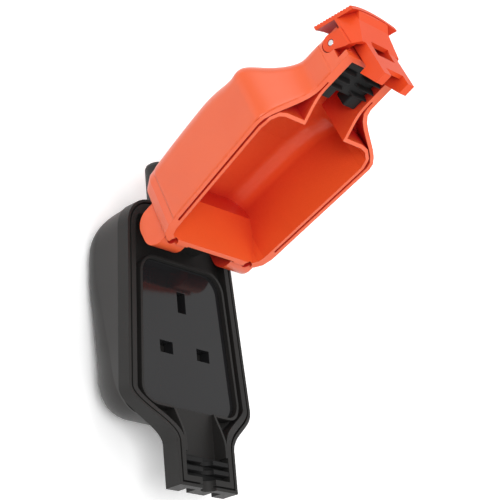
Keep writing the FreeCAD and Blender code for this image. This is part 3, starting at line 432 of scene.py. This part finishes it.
@dataclass
class CoverSkin:
    """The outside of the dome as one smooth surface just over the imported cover.

    Attributes:
        hinge: the cover's hinge.
        face: height of the socket face.
        neck_half: half-width of the neck.
        shoulder: where the waist starts.
        waist_end: where the waist ends.
        side_half: half-width of the body at the middle of its length.
        side_taper: loss of half-width for each millimetre toward the hinge.
        dome: height of the dome above the face.
        neck_top: height of the neck above the face.
        neck_early: how far before the waist's end the crown reaches the neck's height.
        back_fall: how much the crown drops toward the hinge.
        back_reach: length over which it drops.
        edge_radius: radius of the long edges on the body.
        neck_edge: how much less that radius is on the neck.
        draft: how far each side leans in from rim to crown.
        rim: height of the rim above the face on the body.
        rim_step: how much higher the rim is on the neck.
        rim_clear: room between the rim and the skin's lower edge.
        hinge_end: where the skin ends near the hinge.
        neck_end: where it ends on the neck.
        lift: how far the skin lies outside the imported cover.
        end_lift: the same at the skin's own edges.
        end_fade: length over which the lift grows from those edges.
        fullness: how much the shoulder at the dome's end stands up.
        swell_y: place of that shoulder.
        swell_reach: reach of its bell curve.
        tight: how much less the edge radius is at the shoulder.
        tight_y: place where it is least.
        tight_reach: reach of its bell curve.
        widest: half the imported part's width, which the skin keeps within.
        wall: thickness of the skin.
        stations: sections along the object.
    """

    hinge: Hinge = field(default_factory=Hinge)
    face: float = 30.0
    neck_half: float = 17.0
    shoulder: float = 21.0
    waist_end: float = 44.0
    side_half: float = 35.0
    side_taper: float = 0.07
    dome: float = 38.7
    neck_top: float = 28.9
    neck_early: float = 0.2
    back_fall: float = 2.0
    back_reach: float = 47.5
    edge_radius: float = 10.0
    neck_edge: float = 4.0
    draft: float = 1.6
    rim: float = 2.0
    rim_step: float = 6.2
    rim_clear: float = 0.75
    hinge_end: float = 36.0
    neck_end: float = -52.4
    lift: float = 0.16
    end_lift: float = 0.03
    end_fade: float = 1.5
    fullness: float = 1.7
    swell_y: float = -25.5
    swell_reach: float = 4.6
    tight: float = 3.6
    tight_y: float = -26.0
    tight_reach: float = 7.0
    widest: float = 36.48
    wall: float = 0.12
    stations: int = 150

    def waist(self, y: np.ndarray) -> np.ndarray:
        """Raised cosine: 0 along the body and 1 along the neck."""
        share = np.clip((-y - self.shoulder) / (self.waist_end - self.shoulder), 0.0, 1.0)
        return 0.5 * (1.0 - np.cos(math.pi * share))

    def half_width(self, y: np.ndarray) -> np.ndarray:
        """Straight tapering side, drawn in to the neck by the waist curve."""
        side = self.side_half - self.side_taper * y
        return side + (self.neck_half - side) * self.waist(y)

    def crown(self, y: np.ndarray) -> np.ndarray:
        """Raised cosine from the dome down to the neck, with a bell-shaped shoulder added."""
        share = np.clip(-y / (self.waist_end - self.neck_early), 0.0, 1.0)
        fall = (self.dome - self.neck_top) * 0.5 * (1.0 - np.cos(math.pi * share))
        toward_hinge = np.maximum(y, 0.0) / self.back_reach
        bell = self.fullness * np.exp(-(((y - self.swell_y) / self.swell_reach) ** 2))
        return self.face + self.dome - fall - self.back_fall * toward_hinge**2 + bell

    def corner(self, y: np.ndarray) -> np.ndarray:
        """Radius of the dome's long edges: full on the body, tight at the shoulder and on the neck."""
        bell = np.exp(-(((y - self.tight_y) / self.tight_reach) ** 2))
        tight = self.tight * bell * (1.0 - 0.4 * self.waist(y))
        return self.edge_radius - self.neck_edge * self.waist(y) - tight

    def grid(self) -> np.ndarray:
        """Sections across the object, each a drafted side, a quarter arc, a flat top and back down.

        Returns:
            Points of the open cover's skin, in metres.
        """
        y = np.linspace(self.hinge_end, self.neck_end, self.stations)
        from_end = np.minimum(self.hinge_end - y, y - self.neck_end)
        fade = np.clip(from_end / self.end_fade, 0.0, 1.0)
        lift = self.end_lift + (self.lift - self.end_lift) * fade
        rim = self.face + self.rim + self.rim_step * self.waist(y) + self.rim_clear
        half, top, radius = self.half_width(y) + lift, self.crown(y) + lift, self.corner(y)
        crown_half = half - self.draft
        spring = top - radius
        rows = []
        for index in range(len(y)):
            side = np.linspace(0.0, 1.0, 24)
            side_x = half[index] + (crown_half[index] - half[index]) * side
            side_z = rim[index] + (spring[index] - rim[index]) * side
            side_x = side_x - (lift[index] - self.end_lift) * np.clip(1.0 - 12.0 * side, 0.0, 1.0)
            angle = np.linspace(0.0, 0.5 * math.pi, 18)[1:]
            arc_x = crown_half[index] - radius[index] * (1.0 - np.cos(angle))
            arc_z = spring[index] + radius[index] * np.sin(angle)
            flat_x = np.linspace(arc_x[-1], 0.0, 12)[1:]
            x = np.concatenate([side_x, arc_x, flat_x])
            z = np.concatenate([side_z, arc_z, np.full(len(flat_x), top[index])])
            x = np.minimum(np.concatenate([x, x[-2::-1]]), self.widest)
            x[len(x) // 2 + 1 :] *= -1.0
            z = np.concatenate([z, z[-2::-1]])
            rows.append(np.stack([x, np.full(len(x), y[index]), z], axis=-1))
        return self.hinge.opened(np.array(rows))

    def build(self, material: bpy.types.Material) -> bpy.types.Object:
        """Makes the skin and hangs it on the cover.

        Args:
            material: the cover's finish.

        Returns:
            The skin.
        """
        skin = surface_object("cover_skin", [(self.grid(), False)])
        skin.data.materials.append(material)
        wall = skin.modifiers.new("thin_wall", "SOLIDIFY")
        wall.thickness = self.wall * MILLIMETRE
        wall.offset = -1.0
        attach(skin, "lid")
        return skin


@dataclass
class CoverSeal:
    """Black rubber seal in the cover's neck: a soft block, two lips across it and two feet.

    Attributes:
        hinge: the cover's hinge.
        face: height of the socket face.
        half: half-width of the channel that the seal fills.
        squareness: power of the rounded boxes, 1 for an ellipsoid and near 0 for a sharp box.
        dip: how much shorter a lip is at the lead's place.
        dip_half: half-width of that dip.
        lip_edge: half the lip's thickness at its free edge.
        lip_growth: how much that grows toward the root.
    """

    hinge: Hinge = field(default_factory=Hinge)
    face: float = 30.0
    half: float = 11.95
    squareness: float = 0.16
    dip: float = 3.2
    dip_half: float = 2.9
    lip_edge: float = 0.55
    lip_growth: float = 0.5

    def cushion(
        self, centre: tuple[float, float, float], size: tuple[float, float, float]
    ) -> np.ndarray:
        """Superellipsoid: each axis is its half size times a sine or cosine, raised to a small power.

        Args:
            centre: X, Y and height above the face of its middle.
            size: whole size along the three axes.

        Returns:
            A grid of points, in millimetres.
        """
        rise, turn = np.meshgrid(
            np.linspace(-0.5 * math.pi, 0.5 * math.pi, 25),
            np.linspace(0.0, 2.0 * math.pi, 48, False),
            indexing="ij",
        )
        # Rounding makes the cosine exactly 0 at both poles, so that they close
        ring = signed_power(np.round(np.cos(rise), 9), self.squareness)
        x = centre[0] + 0.5 * size[0] * ring * signed_power(np.cos(turn), self.squareness)
        y = centre[1] + 0.5 * size[1] * ring * signed_power(np.sin(turn), self.squareness)
        z = self.face + centre[2] + 0.5 * size[2] * signed_power(np.sin(rise), self.squareness)
        return np.stack([x, y, z], axis=-1)

    def lip(self, y: float, root: float, tip: float) -> np.ndarray:
        """Lip across the seal: a wedge with a round tip, which dips in a smooth bell for the lead.

        Args:
            y: place along the object.
            root: height of the lip's root above the face.
            tip: height of its free edge above the face.

        Returns:
            A grid of points, in millimetres.
        """
        across = np.linspace(-self.half, self.half, 61)
        turn = np.linspace(0.0, 2.0 * math.pi, 28, False)
        dip = self.dip * np.exp(-((across / self.dip_half) ** 4))
        edge = tip + dip
        middle = 0.5 * (root + edge)
        reach = 0.5 * (root - edge)
        x = np.repeat(across[:, None], len(turn), axis=1)
        z = self.face + middle[:, None] + reach[:, None] * np.cos(turn)[None, :]
        thickness = self.lip_edge + self.lip_growth * (0.5 + 0.5 * np.cos(turn))
        wide = y + np.repeat((thickness * np.sin(turn))[None, :], len(across), axis=0)
        return capped(np.stack([x, wide, z], axis=-1))

    def build(self, material: bpy.types.Material) -> bpy.types.Object:
        """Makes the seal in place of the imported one.

        Args:
            material: the rubber.

        Returns:
            The seal.
        """
        width = 2.0 * self.half
        forms = [
            self.cushion(centre=(0.0, -51.8, 15.1), size=(width, 15.8, 6.6)),
            self.cushion(centre=(0.0, -57.9, 13.0), size=(width, 3.2, 5.6)),
            self.cushion(centre=(-8.1, -42.7, 14.4), size=(7.4, 6.2, 7.0)),
            self.cushion(centre=(8.1, -42.7, 14.4), size=(7.4, 6.2, 7.0)),
            self.lip(y=-46.2, root=13.6, tip=9.4),
            self.lip(y=-50.4, root=13.6, tip=8.7),
            self.lip(y=-54.6, root=13.6, tip=8.7),
        ]
        seal = surface_object("cover_seal", [(self.hinge.opened(form), True) for form in forms])
        seal.data.materials.append(material)
        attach(seal, "lid")
        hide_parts("lid_cable_seal")
        return seal


@dataclass
class ShutterSpring:
    """Fine coil spring behind the face, which shortens as the shutter slides.

    Attributes:
        start: place of the fixed end along the object, in millimetres.
        length: free length.
        level: height of its axis above the floor.
        radius: radius of the coil.
        wire: radius of the wire.
        turns: number of turns.
        keep: share of its length that is left at the end of the shutter's travel. Not used.
    """

    start: float = -10.8
    length: float = 19.6
    level: float = 23.6
    radius: float = 1.5
    wire: float = 0.35
    turns: int = 6
    keep: float = 0.66

    def grid(self) -> np.ndarray:
        """Tube round a helix: the centre line turns at an even rate while it advances along Y.

        Returns:
            Points in metres.
        """
        whole_turn = 2.0 * math.pi * self.turns
        turn, round_wire = np.meshgrid(
            np.linspace(0.0, whole_turn, 36 * self.turns),
            np.linspace(0.0, 2.0 * math.pi, 12, False),
            indexing="ij",
        )
        run = self.length - 2.0 * self.wire
        advance = self.start + self.wire + run * turn / whole_turn
        reach = self.radius + self.wire * np.cos(round_wire)
        x = reach * np.cos(turn)
        y = advance + self.wire * np.sin(round_wire)
        z = self.level + reach * np.sin(turn)
        return capped(np.stack([x, y, z], axis=-1)) * MILLIMETRE

    def build(self, material: bpy.types.Material) -> bpy.types.Object:
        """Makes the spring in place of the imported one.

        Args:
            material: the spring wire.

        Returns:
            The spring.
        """
        spring = surface_object("coil_spring", [(self.grid(), True)])
        spring.data.materials.append(material)
        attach(spring, "base")
        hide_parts("shutter_spring")
        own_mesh(spring)
        return spring


# Floor, light and camera


@dataclass(frozen=True)
class Studio:
    """Pale floor, soft lamps and a plain world.

    Attributes:
        floor_reach: half the floor's side.
        floor_level: height of the floor, just under the part.
        floor_colour: the floor's colour as the object sees it.
        floor_seen: the floor's colour as the camera sees it.
        world_strength: light from all round.
        aim: the point that every lamp faces.
    """

    floor_reach: float = 6.0
    floor_level: float = -0.0002
    floor_colour: float = 0.80
    floor_seen: float = 1.25
    world_strength: float = 0.56
    aim: tuple[float, float, float] = (0.0, 0.03, 0.07)

    def seen_share(self, tree: bpy.types.NodeTree) -> bpy.types.NodeSocket:
        """1 for what the camera, a mirror surface or a clear one shows, 0 for other light.

        Args:
            tree: the node tree to add the nodes to.

        Returns:
            The socket with the share.
        """
        path = tree.nodes.new("ShaderNodeLightPath")
        total = path.outputs["Is Camera Ray"]
        for label in ("Is Glossy Ray", "Is Transmission Ray"):
            add = tree.nodes.new("ShaderNodeMath")
            add.operation = "MAXIMUM"
            tree.links.new(total, add.inputs[0])
            tree.links.new(path.outputs[label], add.inputs[1])
            total = add.outputs[0]
        return total

    def floor(self) -> bpy.types.Object:
        """Lays the floor: a flat square at one level.

        Returns:
            The floor object.
        """
        signs = ((-1.0, -1.0), (1.0, -1.0), (1.0, 1.0), (-1.0, 1.0))
        corners = [
            (across * self.floor_reach, along * self.floor_reach, self.floor_level)
            for across, along in signs
        ]
        mesh = bpy.data.meshes.new("floor")
        mesh.from_pydata(corners, [], [(0, 1, 2, 3)])
        floor = bpy.data.objects.new("floor", mesh)
        bpy.context.scene.collection.objects.link(floor)
        material = bpy.data.materials.new("pale_floor")
        material.use_nodes = True
        tree = material.node_tree
        shader = tree.nodes["Principled BSDF"]
        shader.inputs["Roughness"].default_value = 0.9
        shader.inputs["Specular IOR Level"].default_value = 0.0
        mix = tree.nodes.new("ShaderNodeMix")
        mix.data_type = "RGBA"
        mix.inputs["A"].default_value = (self.floor_colour,) * 3 + (1.0,)
        mix.inputs["B"].default_value = (self.floor_seen,) * 3 + (1.0,)
        tree.links.new(self.seen_share(tree), mix.inputs["Factor"])
        tree.links.new(mix.outputs["Result"], shader.inputs["Base Color"])
        mesh.materials.append(material)
        log.info("laid the floor")
        return floor

    def world(self) -> None:
        """Sets even light from all round, with white behind the object."""
        world = bpy.data.worlds.new("studio")
        world.use_nodes = True
        tree = world.node_tree
        background = tree.nodes["Background"]
        background.inputs["Color"].default_value = (1.0, 1.0, 1.0, 1.0)
        strength = tree.nodes.new("ShaderNodeMapRange")
        strength.inputs["To Min"].default_value = self.world_strength
        strength.inputs["To Max"].default_value = 1.0
        tree.links.new(self.seen_share(tree), strength.inputs["Value"])
        tree.links.new(strength.outputs["Result"], background.inputs["Strength"])
        bpy.context.scene.world = world

    def lamp(self, name: str, place: tuple[float, float, float], size: float, share: float) -> None:
        """Hangs one square softbox that faces the object.

        Args:
            name: lamp name.
            place: where it hangs.
            size: side of the softbox.
            share: light on a surface that faces it, 1 for a white that renders as white.
        """
        target = Vector(self.aim)
        position = Vector(place)
        light = bpy.data.lights.new(name, "AREA")
        light.shape = "SQUARE"
        light.size = size
        distance = (position - target).length
        light.energy = share * (math.pi * distance) ** 2
        lamp = bpy.data.objects.new(name, light)
        lamp.location = position
        lamp.rotation_mode = "QUATERNION"
        lamp.rotation_quaternion = (target - position).to_track_quat("-Z", "Y")
        bpy.context.scene.collection.objects.link(lamp)

    def build(self) -> None:
        """Sets the whole studio up."""
        self.floor()
        self.world()
        self.lamp("key_softbox", place=(-1.1, -0.5, 1.6), size=0.9, share=0.55)
        self.lamp("fill_softbox", place=(0.9, -1.3, 0.9), size=1.2, share=0.22)
        self.lamp("back_softbox", place=(-0.3, 1.5, 1.2), size=0.9, share=0.20)


@dataclass(frozen=True)
class PhotoCamera:
    """The camera that took the photograph, fitted to the socket's own known sizes.

    Attributes:
        aim: the point at the middle of the frame.
        distance: from the camera to that point.
        azimuth: degrees round from straight in front of the neck.
        elevation: degrees above the floor.
        roll: degrees that the picture is turned about the line of sight.
        lens: focal length on a sensor as wide as the frame.
        sensor: sensor width.
    """

    aim: tuple[float, float, float] = (0.01025, 0.03835, 0.06317)
    distance: float = 0.730
    azimuth: float = -61.81
    elevation: float = 37.08
    roll: float = 66.71
    lens: float = 122.34
    sensor: float = 36.0

    def build(self) -> bpy.types.Object:
        """Places the camera and makes it the scene's.

        Returns:
            The camera object.
        """
        azimuth, elevation = math.radians(self.azimuth), math.radians(self.elevation)
        back = Vector(
            (
                math.sin(azimuth) * math.cos(elevation),
                -math.cos(azimuth) * math.cos(elevation),
                math.sin(elevation),
            )
        )
        data = bpy.data.cameras.new("photo_camera")
        data.lens = self.lens
        data.sensor_width = self.sensor
        data.sensor_fit = "HORIZONTAL"
        camera = bpy.data.objects.new("photo_camera", data)
        camera.location = Vector(self.aim) + back * self.distance
        camera.rotation_mode = "QUATERNION"
        turn = Quaternion((0.0, 0.0, 1.0), math.radians(self.roll))
        camera.rotation_quaternion = (-back).to_track_quat("-Z", "Y") @ turn
        bpy.context.scene.collection.objects.link(camera)
        bpy.context.scene.camera = camera
        return camera


def main() -> None:
    """Builds the looks."""
    bpy.context.scene.view_settings.view_transform = "Standard"
    grain_group = moulded_grain_group()
    finishes = {finish.name: finish for finish in NODE_FINISHES.values()}
    materials = {name: make_material(finish, grain_group) for name, finish in finishes.items()}
    paint_cad_nodes(materials)
    CoverSkin().build(materials[COVER_ORANGE.name])
    CoverSeal().build(materials[SEAL_RUBBER.name])
    ShutterSpring().build(materials[STEEL.name])
    PhotoCamera().build()
    Studio().build()


if __name__ == "__main__":
    main()
